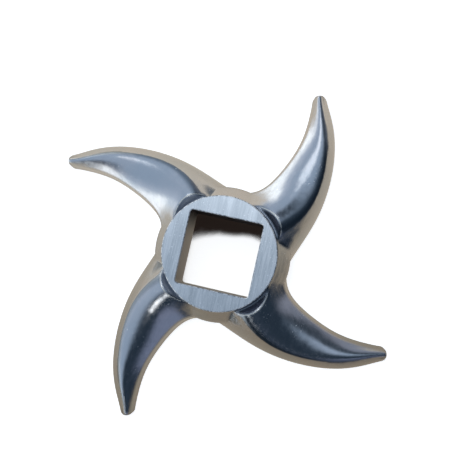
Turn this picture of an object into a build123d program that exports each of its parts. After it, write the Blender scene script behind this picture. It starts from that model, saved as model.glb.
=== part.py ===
"""Meat grinder knife: one cast piece, a square-bored hub carrying four sickle blades.

Frame: millimetres, +Z along the axis of rotation, origin on that axis in the flat
cutting face, which lies in z = 0. The domed backs of the blades and the hub's ground
back face look toward +Z. The flats of the square bore face X and Y.
"""
from build123d import *
import math
import os

# hub
HUB_HEIGHT = 13.5
HUB_BACK_RADIUS = 14.0
SKIRT_RADIUS = 17.0
SKIRT_STRAIGHT = 5.2
NECK_Z = 8.8
BORE_SIDE = 18.0
BORE_CORNER = 0.8
EDGE_BREAK = 0.2

# groove between the hub's standing rim and the roots of the blades
GROOVE_FLOOR_Z = 9.0
GROOVE_FLOOR_WIDTH = 0.7
GROOVE_SPREAD = 2.5
GROOVE_CLIMB = 2.1
GROOVE_RUNOUT = 1.0

# relief in the cutting face around the bore
RELIEF_RADIUS = 14.0
RELIEF_DEPTH = 0.5

# blades
BLADE_COUNT = 4
EDGE_LAND = 0.35
BRINK_INSET = 0.6
NOSE_RADIUS = 2.0
NOSE_SETBACK = 1.95
NOSE_HEIGHT = 3.1
NOSE_ROUND = 0.95
TRIM_DEPTH = 1.0
TRIM_SIDE = 120.0

# stations from the hub out to the tip: leading (convex) edge and trailing (concave)
# edge in the cutting face, how far in the steep leading side reaches, its height
# there, and the height of the brink above the trailing edge
STATIONS = [
    ((16.1, -3.6), (-1.6, 16.0), 8.2, 10.2, 5.6),
    ((17.85, 4.82), (5.09, 18.07), 5.0, 8.6, 4.6),
    ((20.56, 12.19), (8.28, 21.61), 3.0, 6.9, 3.9),
    ((21.86, 17.53), (10.13, 24.95), 2.4, 5.7, 3.6),
    ((22.19, 30.00), (12.92, 32.40), 2.2, 4.6, 2.9),
    ((18.98, 40.58), (13.69, 40.19), 1.8, 3.4, 2.3),
    ((16.70, 45.20), (13.50, 44.50), 1.2, 2.6, 1.9),
]

# section of a blade: slope where the steep side turns into the back, reach of that
# turn, where the back is highest, and the slope of the back at the brink
SIDE_RISE = 0.55
TURN_SLOPE = 1.15
TURN_REACH = 0.42
CREST_PLACE = 0.5
CREST_LIFT = 0.06
BRINK_SLOPE = 0.8
BRINK_REACH = 0.25


def section_plane(lead, trail):
    """Upright plane through both edges, origin on the leading edge, local Y up."""
    across = Vector(trail[0] - lead[0], trail[1] - lead[1], 0)
    return Plane(
        origin=(lead[0], lead[1], 0),
        x_dir=across,
        z_dir=across.cross(Vector(0, 0, 1)),
    )


# rounded nose of a blade, and the stock beyond it that is taken off; local Y points in
with BuildPart() as nose:
    Cylinder(NOSE_RADIUS, NOSE_HEIGHT, align=(Align.CENTER, Align.CENTER, Align.MIN))
    fillet(nose.edges().sort_by(Axis.Z)[-1], NOSE_ROUND)
with BuildPart() as beyond_nose:
    Box(
        4 * NOSE_RADIUS,
        4 * NOSE_RADIUS,
        2 * NOSE_HEIGHT,
        align=(Align.CENTER, Align.MAX, Align.CENTER),
    )
    add(nose.part, mode=Mode.SUBTRACT)

# one blade, lofted through its upright sections and trimmed to the cutting face
with BuildPart() as blade:
    for lead, trail, band, turn_z, brink_z in STATIONS:
        width = math.dist(lead, trail)
        turn = TURN_REACH * band
        brink_x = width - BRINK_INSET
        run = brink_x - band
        with BuildSketch(section_plane(lead, trail)):
            with BuildLine():
                side = Bezier(
                    (0, EDGE_LAND),
                    (0, EDGE_LAND + SIDE_RISE * (turn_z - EDGE_LAND)),
                    (band - turn, turn_z - TURN_SLOPE * turn),
                    (band, turn_z),
                )
                back = Bezier(
                    side @ 1,
                    (band + turn, turn_z + TURN_SLOPE * turn),
                    (
                        band + CREST_PLACE * run,
                        turn_z + TURN_SLOPE * turn + CREST_LIFT * run,
                    ),
                    (
                        brink_x - BRINK_REACH * run,
                        brink_z + BRINK_SLOPE * BRINK_REACH * run,
                    ),
                    (brink_x, brink_z),
                )
                Polyline(
                    back @ 1,
                    (width, EDGE_LAND),
                    (width, -TRIM_DEPTH),
                    (0, -TRIM_DEPTH),
                    side @ 0,
                )
            make_face()
    loft()
    Box(
        TRIM_SIDE,
        TRIM_SIDE,
        2 * TRIM_DEPTH,
        align=(Align.CENTER, Align.CENTER, Align.MAX),
        mode=Mode.SUBTRACT,
    )
    lead, trail = STATIONS[-1][:2]
    end = section_plane(lead, trail)
    middle = Vector((lead[0] + trail[0]) / 2, (lead[1] + trail[1]) / 2, 0)
    nose_place = Plane(
        origin=middle - end.z_dir * NOSE_SETBACK, x_dir=end.x_dir, z_dir=(0, 0, 1)
    )
    with Locations(nose_place):
        add(beyond_nose.part, mode=Mode.SUBTRACT)

with BuildPart() as knife:
    # hub: upright foot, skirt drawn in to the neck, back face
    with BuildSketch(Plane.XZ):
        with BuildLine():
            foot = Polyline((0, 0), (SKIRT_RADIUS, 0), (SKIRT_RADIUS, SKIRT_STRAIGHT))
            Polyline(
                foot @ 1,
                (HUB_BACK_RADIUS, NECK_Z),
                (HUB_BACK_RADIUS, HUB_HEIGHT),
                (0, HUB_HEIGHT),
                (0, 0),
            )
        make_face()
    revolve(axis=Axis.Z)
    with PolarLocations(0, BLADE_COUNT):
        add(blade.part)
    # groove that leaves the standing rim inside the blade roots
    with BuildSketch(Plane.XZ):
        with BuildLine():
            Polyline(
                (HUB_BACK_RADIUS, GROOVE_FLOOR_Z),
                (HUB_BACK_RADIUS + GROOVE_FLOOR_WIDTH, GROOVE_FLOOR_Z),
                (
                    HUB_BACK_RADIUS + GROOVE_FLOOR_WIDTH + GROOVE_SPREAD,
                    GROOVE_FLOOR_Z + GROOVE_CLIMB,
                ),
                (
                    HUB_BACK_RADIUS + GROOVE_FLOOR_WIDTH + GROOVE_SPREAD,
                    HUB_HEIGHT + GROOVE_RUNOUT,
                ),
                (HUB_BACK_RADIUS, HUB_HEIGHT + GROOVE_RUNOUT),
                close=True,
            )
        make_face()
    revolve(axis=Axis.Z, mode=Mode.SUBTRACT)
    # square bore
    with BuildSketch(Plane.XY):
        RectangleRounded(BORE_SIDE, BORE_SIDE, BORE_CORNER)
    extrude(amount=HUB_HEIGHT, mode=Mode.SUBTRACT)
    # relief round the bore in the cutting face
    with BuildSketch(Plane.XY):
        Circle(RELIEF_RADIUS)
    extrude(amount=RELIEF_DEPTH, mode=Mode.SUBTRACT)
    # broken edges round the back face
    chamfer(knife.faces().sort_by(Axis.Z)[-1].edges(), EDGE_BREAK)

knife.part.label = "knife"
os.makedirs("parts", exist_ok=True)
export_step(knife.part, "parts/knife.step")
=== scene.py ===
"""Meat grinder knife: looks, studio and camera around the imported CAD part.

Metres, in the frame of the part: +Z up along the axis of rotation, the cutting face in
z = 0. The floor lies just under that face and the camera looks down on the backs.
"""
import math

import bpy
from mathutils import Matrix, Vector


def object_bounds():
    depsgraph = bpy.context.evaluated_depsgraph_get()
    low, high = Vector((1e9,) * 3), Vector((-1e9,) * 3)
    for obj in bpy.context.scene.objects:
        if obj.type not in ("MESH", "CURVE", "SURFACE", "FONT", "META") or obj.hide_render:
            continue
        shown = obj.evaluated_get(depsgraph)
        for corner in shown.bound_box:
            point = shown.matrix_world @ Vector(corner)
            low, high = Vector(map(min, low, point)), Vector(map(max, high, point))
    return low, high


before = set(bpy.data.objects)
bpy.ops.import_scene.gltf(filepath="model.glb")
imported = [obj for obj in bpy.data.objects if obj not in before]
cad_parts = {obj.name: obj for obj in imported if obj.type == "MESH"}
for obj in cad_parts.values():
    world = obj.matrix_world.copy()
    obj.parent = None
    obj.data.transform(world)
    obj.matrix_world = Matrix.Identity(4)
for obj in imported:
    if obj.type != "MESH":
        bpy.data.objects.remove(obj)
cad_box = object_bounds()

MM = 0.001


def rgb(red, green, blue):
    return (red, green, blue, 1.0)


# ---------------------------------------------------------------- node helpers


class Nodes:
    """Short ways to build one node tree."""

    def __init__(self, tree):
        self.tree = tree
        tree.nodes.clear()

    def add(self, kind, inputs=None, **settings):
        node = self.tree.nodes.new(kind)
        for name, value in settings.items():
            setattr(node, name, value)
        for name, value in (inputs or {}).items():
            self.set(node.inputs[name], value)
        return node

    def set(self, socket, value):
        if isinstance(value, bpy.types.NodeSocket):
            self.tree.links.new(value, socket)
        else:
            socket.default_value = value

    def math(self, operation, *values):
        node = self.add("ShaderNodeMath", operation=operation)
        for socket, value in zip(node.inputs, values):
            self.set(socket, value)
        return node.outputs[0]

    def product(self, first, *others):
        for other in others:
            first = self.math("MULTIPLY", first, other)
        return first

    def largest(self, first, *others):
        for other in others:
            first = self.math("MAXIMUM", first, other)
        return first

    def less(self, value, limit):
        return self.math("LESS_THAN", value, limit)

    def more(self, value, limit):
        return self.math("GREATER_THAN", value, limit)

    def split(self, vector):
        return self.add("ShaderNodeSeparateXYZ", {"Vector": vector}).outputs

    def dot(self, vector, direction):
        node = self.add("ShaderNodeVectorMath", {0: vector, 1: direction}, operation="DOT_PRODUCT")
        return node.outputs["Value"]

    def smooth(self, value, low, high, to_low=0.0, to_high=1.0):
        """Eases from to_low to to_high while value goes from low to high."""
        node = self.add("ShaderNodeMapRange", interpolation_type="SMOOTHSTEP")
        for name, given in (("Value", value), ("From Min", low), ("From Max", high),
                            ("To Min", to_low), ("To Max", to_high)):
            self.set(node.inputs[name], given)
        return node.outputs["Result"]

    def blend(self, kind, factor, a, b):
        """Goes from a to b with the factor; kind is RGBA, FLOAT or VECTOR."""
        node = self.add("ShaderNodeMix", data_type=kind)
        wanted = {"RGBA": "RGBA", "FLOAT": "VALUE", "VECTOR": "VECTOR"}[kind]
        sockets = {s.name: s for s in node.inputs if s.type == wanted and s.name in ("A", "B")}
        self.set(node.inputs["Factor"], factor)
        self.set(sockets["A"], a)
        self.set(sockets["B"], b)
        return [s for s in node.outputs if s.type == wanted][0]

    def mix(self, factor, a, b):
        return self.blend("RGBA", factor, a, b)

    def stretched(self, vector, scale):
        """Vector with each axis multiplied: lower numbers draw a texture out along that axis."""
        node = self.add("ShaderNodeMapping", {"Vector": vector, "Scale": scale})
        return node.outputs["Vector"]

    def noise(self, vector, scale, detail=3.0, rough=0.55):
        node = self.add("ShaderNodeTexNoise",
                        {"Vector": vector, "Scale": scale, "Detail": detail, "Roughness": rough})
        return node.outputs["Fac"]


def new_material(name):
    material = bpy.data.materials.new(name)
    material.use_nodes = True
    return material, Nodes(material.node_tree)


# ---------------------------------------------------------------- camera

IMAGE_SIDE = 450.0
SENSOR = 36.0
FOCAL_PIXELS = 757.53
CAMERA_PLACE = (18.419 * MM, -1.926 * MM, 193.461 * MM)
CAMERA_TURN = (4.0352, 5.1076, 12.7642)  # degrees about X, Y and Z, from straight down
NEAREST = 5.0 * MM
FARTHEST = 50.0


def add_camera():
    data = bpy.data.cameras.new("camera")
    data.sensor_width = SENSOR
    data.lens = FOCAL_PIXELS / IMAGE_SIDE * SENSOR
    data.clip_start = NEAREST
    data.clip_end = FARTHEST
    camera = bpy.data.objects.new("camera", data)
    bpy.context.scene.collection.objects.link(camera)
    camera.location = CAMERA_PLACE
    camera.rotation_euler = [math.radians(turn) for turn in CAMERA_TURN]
    bpy.context.scene.camera = camera


# ---------------------------------------------------------------- knife steel

# sizes of the knife that its surface follows
HUB_TOP = cad_box[1][2]
BORE_HALF = 9.0 * MM
RIM_DEPTH = 0.22 * MM  # broken edges round the back face, and a hair more
BACK_FACE_DEPTH = 0.3 * MM
GROOVE_FLOOR = 9.0 * MM
GROOVE_INNER = 14.7 * MM  # where the groove starts to climb outward
GROOVE_SLOPE = 0.84
LEVEL = 0.97  # a face counts as level when its normal is this close to upright

# colours of the steel
BLADE_COOL = rgb(0.57, 0.595, 0.625)
BLADE_WARM = rgb(0.63, 0.625, 0.64)
SPECK = rgb(0.95, 0.95, 0.95)
SCRATCH = rgb(0.95, 0.95, 0.96)
# painted shade: a dark line where a blade's leading side turns into its back
TURN_SHADE = rgb(0.25, 0.275, 0.30)
# painted shade in the groove round the hub
GROOVE_SHADE = rgb(0.33, 0.35, 0.385)
# painted highlight along the edge where the groove breaks out into the blades
LIP_HIGHLIGHT = rgb(0.86, 0.82, 0.74)
GROUND_DARK = rgb(0.48, 0.515, 0.54)
GROUND_LIGHT = rgb(0.73, 0.755, 0.775)
PIT = rgb(0.96, 0.97, 0.98)
NICK_DARK = rgb(0.30, 0.33, 0.36)
NICK_LIGHT = rgb(0.98, 0.98, 0.98)
# mottled painted shade on the bore walls that are not painted as lit
SHADED_WALL_DARK = rgb(0.060, 0.046, 0.040)
SHADED_WALL_LIGHT = rgb(0.130, 0.098, 0.082)
# lighter colours painted on the bore walls as lit: the wall facing +Y, and the wall facing +X away
# from its +Y end
LIT_WALL_FACING_Y = rgb(0.55, 0.53, 0.50)
LIT_WALL_FACING_X = rgb(0.50, 0.475, 0.45)

BORE_ROUGHNESS = 0.6
WAVE_HEIGHT = 0.08 * MM
GRAIN_HEIGHT = 0.006 * MM
CREASE_RADIUS = 1.3 * MM
CREASE_CEILING = 11.5 * MM


class Spot:
    """The point being shaded: where it is, where it faces, and the regions it lies in."""

    def __init__(self, n):
        self.place = n.add("ShaderNodeTexCoord").outputs["Object"]
        self.normal = n.add("ShaderNodeNewGeometry").outputs["Normal"]
        self.x, self.y, self.z = n.split(self.place)
        self.facing_x, self.facing_y, self.facing_z = n.split(self.normal)
        self.radius = n.math("SQRT", n.math("ADD", n.product(self.x, self.x),
                                            n.product(self.y, self.y)))
        half_width = n.largest(n.math("ABSOLUTE", self.x), n.math("ABSOLUTE", self.y))
        self.in_bore = n.less(half_width, BORE_HALF + 0.12 * MM)
        self.bore_wall = n.product(self.in_bore, n.less(self.z, HUB_TOP - RIM_DEPTH))
        upward = n.more(self.facing_z, LEVEL)
        back_face = n.product(upward, n.more(self.z, HUB_TOP - BACK_FACE_DEPTH))
        cutting_face = n.less(self.facing_z, -LEVEL)
        self.rim = n.product(n.less(upward, 0.5), n.more(self.z, HUB_TOP - RIM_DEPTH))
        self.ground = n.largest(back_face, cutting_face, self.rim)
        # grain of the ground faces, drawn out along Y
        self.grain = n.noise(n.stretched(self.place, (1.0, 0.03, 1.0)), scale=7000.0,
                             detail=4.0, rough=0.75)


def polished(n, spot):
    """Mottled cool steel with fine bright specks."""
    mottle = n.noise(spot.place, scale=90.0, detail=4.0)
    colour = n.mix(n.smooth(mottle, 0.35, 0.68), BLADE_COOL, BLADE_WARM)
    fine = n.noise(n.stretched(spot.place, (1.0, 0.6, 1.0)), scale=3800.0, detail=4.0, rough=0.7)
    return n.mix(n.smooth(fine, 0.66, 0.74), colour, SPECK)


def painted_turn_shade(n, spot):
    """Painted shade: a dark line where the steep leading side of a blade turns into its back, picked
    by the slope of the surface.
    """
    sideways = n.math("SUBTRACT", n.product(spot.facing_x, spot.y), n.product(spot.facing_y, spot.x))
    leading = n.smooth(n.math("DIVIDE", sideways, spot.radius), 0.10, 0.30)
    not_too_steep = n.smooth(spot.facing_z, 0.675, 0.72)
    steep_enough = n.smooth(spot.facing_z, 0.95, 0.82)
    return n.product(not_too_steep, steep_enough, leading)


def groove(n, spot):
    """Painted shade down in the groove round the hub."""
    near_hub = n.smooth(spot.radius, 16.6 * MM, 15.2 * MM)
    above_floor = n.smooth(spot.z, 8.4 * MM, 8.9 * MM)
    below_rim = n.smooth(spot.z, 13.0 * MM, 12.0 * MM)
    return n.product(near_hub, above_floor, below_rim)


def painted_lip_highlight(n, spot):
    """Painted highlight: a light line along the edge where the groove breaks out into the blades,
    broken up by noise.
    """
    outward = n.math("SUBTRACT", spot.radius, GROOVE_INNER)
    cone = n.math("MULTIPLY_ADD", outward, GROOVE_SLOPE, GROOVE_FLOOR)
    above_cone = n.math("SUBTRACT", spot.z, cone)
    band = n.product(n.smooth(above_cone, -0.55 * MM, -0.30 * MM),
                     n.smooth(above_cone, -0.03 * MM, -0.08 * MM))
    beside_hub = n.product(n.smooth(spot.radius, 17.6 * MM, 17.2 * MM),
                           n.smooth(spot.z, 8.95 * MM, 9.2 * MM))
    patchy = n.smooth(n.noise(spot.place, scale=600.0), 0.25, 0.5)
    return n.product(band, beside_hub, patchy)


def scratches(n, spot):
    """Sparse bright scratches, in patches."""
    patches = n.smooth(n.noise(spot.place, scale=130.0, detail=2.0), 0.52, 0.64)
    lines = n.noise(n.stretched(spot.place, (1.0, 0.55, 1.0)), scale=2300.0, rough=0.7)
    return n.product(n.smooth(lines, 0.63, 0.69), patches)


def ground_face(n, spot):
    """Streaks of the grinding and small bright pits; nicked metal along the broken edges."""
    broad = n.noise(n.stretched(spot.place, (1.0, 0.10, 1.0)), scale=700.0, rough=0.6)
    streaks = n.math("ADD", n.product(spot.grain, 0.62), n.product(broad, 0.38))
    face = n.mix(n.smooth(streaks, 0.36, 0.64), GROUND_DARK, GROUND_LIGHT)
    pits = n.smooth(n.noise(spot.place, scale=2600.0, detail=2.0), 0.65, 0.70)
    face = n.mix(n.product(pits, 0.85), face, PIT)
    nicks = n.smooth(n.noise(spot.place, scale=1700.0), 0.40, 0.55)
    return n.mix(spot.rim, face, n.mix(nicks, NICK_DARK, NICK_LIGHT))


def lit_bore_walls(n, spot):
    """The walls painted as lit: the wall of the bore that faces +Y, and the one that faces +X away
    from its +Y end.
    """
    facing_x = n.product(n.smooth(spot.facing_x, 0.2, 0.7),
                         n.smooth(spot.y, BORE_HALF, 1.0 * MM))
    return n.largest(n.smooth(spot.facing_y, 0.2, 0.7), facing_x)


def bore(n, spot, lit_walls):
    """Unpolished; the walls picked by the lit mask are painted lighter as lit, the other walls get
    mottled painted shade.
    """
    shade_mottle = n.smooth(n.noise(spot.place, scale=300.0, detail=4.0), 0.35, 0.7)
    wall = n.mix(n.smooth(spot.facing_x, 0.2, 0.7), LIT_WALL_FACING_Y, LIT_WALL_FACING_X)
    return n.mix(lit_walls, n.mix(shade_mottle, SHADED_WALL_DARK, SHADED_WALL_LIGHT), wall)


def roughness(n, spot):
    wheel_marks = n.noise(n.stretched(spot.place, (1.0, 0.3, 1.0)), scale=1500.0)
    polish = n.smooth(wheel_marks, 0.3, 0.7, to_low=0.16, to_high=0.24)
    grinding = n.smooth(spot.grain, 0.3, 0.7, to_low=0.30, to_high=0.42)
    outside = n.blend("FLOAT", spot.ground, polish, grinding)
    return n.blend("FLOAT", spot.bore_wall, outside, BORE_ROUGHNESS)


def relief(n, spot):
    """Normal with softened creases, hand-polished waviness and the grain of grinding."""
    sharp = n.largest(spot.ground, spot.in_bore, n.more(spot.z, CREASE_CEILING))
    soft = n.add("ShaderNodeBevel", {"Radius": CREASE_RADIUS}, samples=8).outputs["Normal"]
    normal = n.blend("VECTOR", sharp, soft, spot.normal)
    wave_height = n.math("SUBTRACT", WAVE_HEIGHT, n.product(spot.ground, WAVE_HEIGHT))
    wave = n.product(n.noise(spot.place, scale=240.0, detail=2.0), wave_height)
    height = n.math("MULTIPLY_ADD", n.product(spot.grain, spot.ground), GRAIN_HEIGHT, wave)
    bump = n.add("ShaderNodeBump",
                 {"Strength": 1.0, "Distance": 1.0, "Height": height, "Normal": normal})
    return bump.outputs["Normal"]


def steel():
    material, n = new_material("polished_steel")
    spot = Spot(n)
    lip_highlight = painted_lip_highlight(n, spot)
    scratched = scratches(n, spot)
    lit_walls = lit_bore_walls(n, spot)

    colour = polished(n, spot)
    # painted shade along the turn of each blade's leading side
    colour = n.mix(painted_turn_shade(n, spot), colour, TURN_SHADE)
    # painted shade in the groove
    colour = n.mix(groove(n, spot), colour, GROOVE_SHADE)
    # painted highlight on the groove's outer edge
    colour = n.mix(lip_highlight, colour, LIP_HIGHLIGHT)
    colour = n.mix(scratched, colour, SCRATCH)
    colour = n.mix(spot.ground, colour, ground_face(n, spot))
    # bore walls: painted light on some, mottled painted shade on the others
    colour = n.mix(spot.bore_wall, colour, bore(n, spot, lit_walls))

    # bright marks, the painted lip highlight and the painted shade on the bore walls scatter light
    # as paint does, in part or wholly
    shaded_wall = n.product(spot.bore_wall, n.math("SUBTRACT", 1.0, lit_walls))
    matt = n.largest(shaded_wall, n.product(spot.bore_wall, 0.3), n.product(spot.rim, 0.75),
                     n.product(n.largest(lip_highlight, scratched), 0.6))
    shader = n.add("ShaderNodeBsdfPrincipled", {
        "Base Color": colour,
        "Roughness": roughness(n, spot),
        "Normal": relief(n, spot),
        "Metallic": n.math("SUBTRACT", 1.0, matt),
        "Specular IOR Level": n.math("MULTIPLY_ADD", shaded_wall, -0.5, 0.5),
    })
    n.add("ShaderNodeOutputMaterial", {"Surface": shader.outputs[0]})
    return material


# ---------------------------------------------------------------- floor

FLOOR_HALF = 3.0
FLOOR_DROP = 0.05 * MM
FLOOR_WHITE = rgb(0.86, 0.85, 0.83)
FLOOR_GLOW = 0.84

# the table that the steel mirrors, a glow on the floor with painted light and painted shade
TABLE_PAINTED_DIM = rgb(0.31, 0.262, 0.195)
TABLE_PAINTED_LIGHT = rgb(0.78, 0.71, 0.60)
TABLE_PAINTED_GLARE = rgb(0.93, 0.98, 1.00)
TABLE_PAINTED_SHADE = rgb(0.045, 0.060, 0.085)
TOWARD_LIGHT = (-0.45, 0.89, 0.0)
TOWARD_SHADE = (0.80, -0.60, 0.0)

# the shade on the floor inside the bore, along its +Y wall
SHADE_GLOW = rgb(0.016, 0.011, 0.009)
SHADE_COLOUR = rgb(0.03, 0.022, 0.018)
TOWARD_WALL = (-0.12, 0.86, 0.50)
WIDE_REACH = 7.4 * MM
NARROW_REACH = 5.2 * MM
MIDDLE_EXTRA = 0.13


def table_with_painted_light(n, place, across):
    """Painted reflection of a table: beige, lighter toward -X and +Y, white far to -X and in painted
    shade far to +X and -Y.
    """
    table = n.mix(n.smooth(n.dot(place, TOWARD_LIGHT), -0.06, 0.07), TABLE_PAINTED_DIM, TABLE_PAINTED_LIGHT)
    table = n.mix(n.smooth(across, -0.05, -0.10), table, TABLE_PAINTED_GLARE)
    return n.mix(n.smooth(n.dot(place, TOWARD_SHADE), 0.048, 0.080), table, TABLE_PAINTED_SHADE)


def shade_in_bore(n, place, across):
    """One where the knife closes in on the floor from the side of the bore's +Y wall."""
    tilt = n.add("ShaderNodeCombineXYZ", dict(zip("XYZ", TOWARD_WALL))).outputs[0]
    reach = n.smooth(across, -BORE_HALF, BORE_HALF, WIDE_REACH, NARROW_REACH)
    occlusion = n.add("ShaderNodeAmbientOcclusion", {"Normal": tilt, "Distance": reach}, samples=48)
    # in the middle only one wall closes in, so that stretch is darkened to match the corners
    middle = n.smooth(n.math("ABSOLUTE", across), 8.5 * MM, 1.0 * MM, 0.0, MIDDLE_EXTRA)
    open_share = n.math("SUBTRACT", occlusion.outputs["AO"], middle)
    off_axis = n.add("ShaderNodeVectorMath", {0: place}, operation="LENGTH").outputs["Value"]
    inside = n.smooth(off_axis, 15.0 * MM, 13.5 * MM)
    return n.product(n.smooth(open_share, 0.64, 0.48), inside)


def floor_material():
    """White to the camera, a glowing beige table with painted light and shade in the steel, plain
    pale paint to all other light.
    """
    material, n = new_material("floor")
    path = n.add("ShaderNodeLightPath").outputs
    place = n.add("ShaderNodeTexCoord").outputs["Object"]
    across = n.split(place)[0]

    shade = shade_in_bore(n, place, across)
    glow = n.add("ShaderNodeEmission", {
        "Color": n.mix(shade, rgb(1.0, 1.0, 1.0), SHADE_GLOW), "Strength": FLOOR_GLOW})
    paint = n.add("ShaderNodeBsdfDiffuse", {"Color": n.mix(shade, FLOOR_WHITE, SHADE_COLOUR)})
    to_camera = n.add("ShaderNodeAddShader", {0: paint.outputs[0], 1: glow.outputs[0]})

    plain = n.add("ShaderNodeBsdfDiffuse", {"Color": FLOOR_WHITE})
    # the floor glows with the painted table, seen only in the steel
    table = n.add("ShaderNodeEmission", {"Color": table_with_painted_light(n, place, across), "Strength": 1.0})
    in_steel = n.largest(path["Is Glossy Ray"], path["Is Transmission Ray"])
    surface = n.add("ShaderNodeMixShader", {
        0: path["Is Camera Ray"], 1: plain.outputs[0], 2: to_camera.outputs[0]})
    surface = n.add("ShaderNodeMixShader", {0: in_steel, 1: surface.outputs[0], 2: table.outputs[0]})

    # a camera below the floor looks through it at the cutting face
    behind = n.add("ShaderNodeNewGeometry").outputs["Backfacing"]
    clear = n.add("ShaderNodeBsdfTransparent")
    one_sided = n.add("ShaderNodeMixShader", {
        0: n.product(behind, path["Is Camera Ray"]), 1: surface.outputs[0], 2: clear.outputs[0]})
    n.add("ShaderNodeOutputMaterial", {"Surface": one_sided.outputs[0]})
    return material


def add_floor():
    corners = [(side_x * FLOOR_HALF, side_y * FLOOR_HALF, -FLOOR_DROP)
               for side_x, side_y in ((-1, -1), (1, -1), (1, 1), (-1, 1))]
    mesh = bpy.data.meshes.new("floor")
    mesh.from_pydata(corners, [], [(0, 1, 2, 3)])
    mesh.materials.append(floor_material())
    floor = bpy.data.objects.new("floor", mesh)
    bpy.context.scene.collection.objects.link(floor)


# ---------------------------------------------------------------- lamps

KEY_PLACE = (-0.25, 0.50, 0.95)
KEY_SIZE = (0.45, 0.45)
KEY_WATTS = 0.5
KEY_COLOUR = (0.97, 0.98, 1.0)
KEY_TARGET = (0.0, 0.0, 0.005)

# small and near, so that the back face of the hub mirrors it and the blades hardly do
SOFTBOX_PLACE = (-0.026, 0.062, 0.26)
SOFTBOX_SIZE = (0.06, 0.05)
SOFTBOX_WATTS = 0.036
SOFTBOX_COLOUR = (0.90, 0.95, 1.0)
SOFTBOX_TARGET = (-0.026, 0.062, 0.0)


def add_lamp(name, place, size, watts, colour, target):
    data = bpy.data.lights.new(name, "AREA")
    data.shape = "RECTANGLE"
    data.size, data.size_y = size
    data.energy = watts
    data.color = colour
    lamp = bpy.data.objects.new(name, data)
    bpy.context.scene.collection.objects.link(lamp)
    lamp.location = place
    toward = Vector(target) - Vector(place)
    lamp.rotation_euler = toward.to_track_quat("-Z", "Y").to_euler()


# ---------------------------------------------------------------- room around the knife

DARK_SIDE = rgb(0.024, 0.040, 0.062)
LIGHT_SIDE = rgb(0.39, 0.495, 0.64)
WALL_TOP = rgb(0.045, 0.062, 0.085)
WALL_FOOT = rgb(0.29, 0.32, 0.40)
LOW_PATCH = rgb(0.24, 0.28, 0.40)
HAZE = rgb(1.00, 1.08, 1.25)
HAZE_SHARE = 0.30
WINDOW = rgb(1.60, 1.70, 1.75)
SPOTLIGHT = rgb(2.2, 2.3, 2.35)


def add_room():
    """The surroundings as the steel mirrors them; the camera sees plain white."""
    world = bpy.data.worlds.new("studio")
    bpy.context.scene.world = world
    world.use_nodes = True
    n = Nodes(world.node_tree)
    direction = n.add("ShaderNodeTexCoord").outputs["Generated"]
    x, y, z = n.split(direction)

    def patch(toward, outer, inner):
        """Soft round patch: one inside the inner angle, none beyond the outer, in degrees."""
        cosine = n.dot(direction, Vector(toward).normalized())
        return n.smooth(cosine, math.cos(math.radians(outer)), math.cos(math.radians(inner)))

    # dark toward +X and -Y, light toward -X and +Y
    lit = n.smooth(n.dot(direction, Vector((-1.0, 1.0, 0.0)).normalized()), -0.31, 0.04)
    room = n.mix(lit, DARK_SIDE, LIGHT_SIDE)
    # wall toward +X and +Y, paler near its foot
    wall = n.mix(n.smooth(z, 0.52, 0.20), WALL_TOP, WALL_FOOT)
    on_wall = n.product(n.smooth(x, -0.02, 0.16), n.smooth(y, 0.30, 0.55), n.smooth(z, 0.86, 0.70))
    room = n.mix(on_wall, room, wall)
    room = n.mix(patch((0.58, -0.78, 0.22), 31.0, 14.0), room, LOW_PATCH)
    # window low toward -X, in two panes with a dimmer stretch between, and haze above it
    left = n.smooth(x, -0.28, -0.50)
    haze = n.product(n.smooth(z, 0.66, 0.30), left, HAZE_SHARE)
    room = n.mix(haze, room, HAZE)
    panes = n.smooth(n.math("ABSOLUTE", y), 0.24, 0.40, to_low=0.30)
    room = n.mix(n.product(n.smooth(z, 0.36, 0.20), left, panes), room, WINDOW)
    room = n.mix(patch((-0.16, -0.77, 0.62), 9.0, 3.5), room, SPOTLIGHT)

    seen = n.add("ShaderNodeLightPath").outputs["Is Camera Ray"]
    room = n.mix(seen, room, rgb(1.0, 1.0, 1.0))
    background = n.add("ShaderNodeBackground", {"Color": room, "Strength": 1.0})
    n.add("ShaderNodeOutputWorld", {"Surface": background.outputs[0]})


# ---------------------------------------------------------------- scene

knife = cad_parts["knife"]
knife.data.materials.clear()
knife.data.materials.append(steel())

add_camera()
add_floor()
add_lamp("key", KEY_PLACE, KEY_SIZE, KEY_WATTS, KEY_COLOUR, KEY_TARGET)
add_lamp("softbox", SOFTBOX_PLACE, SOFTBOX_SIZE, SOFTBOX_WATTS, SOFTBOX_COLOUR, SOFTBOX_TARGET)
add_room()

bpy.context.scene.view_settings.view_transform = "Standard"
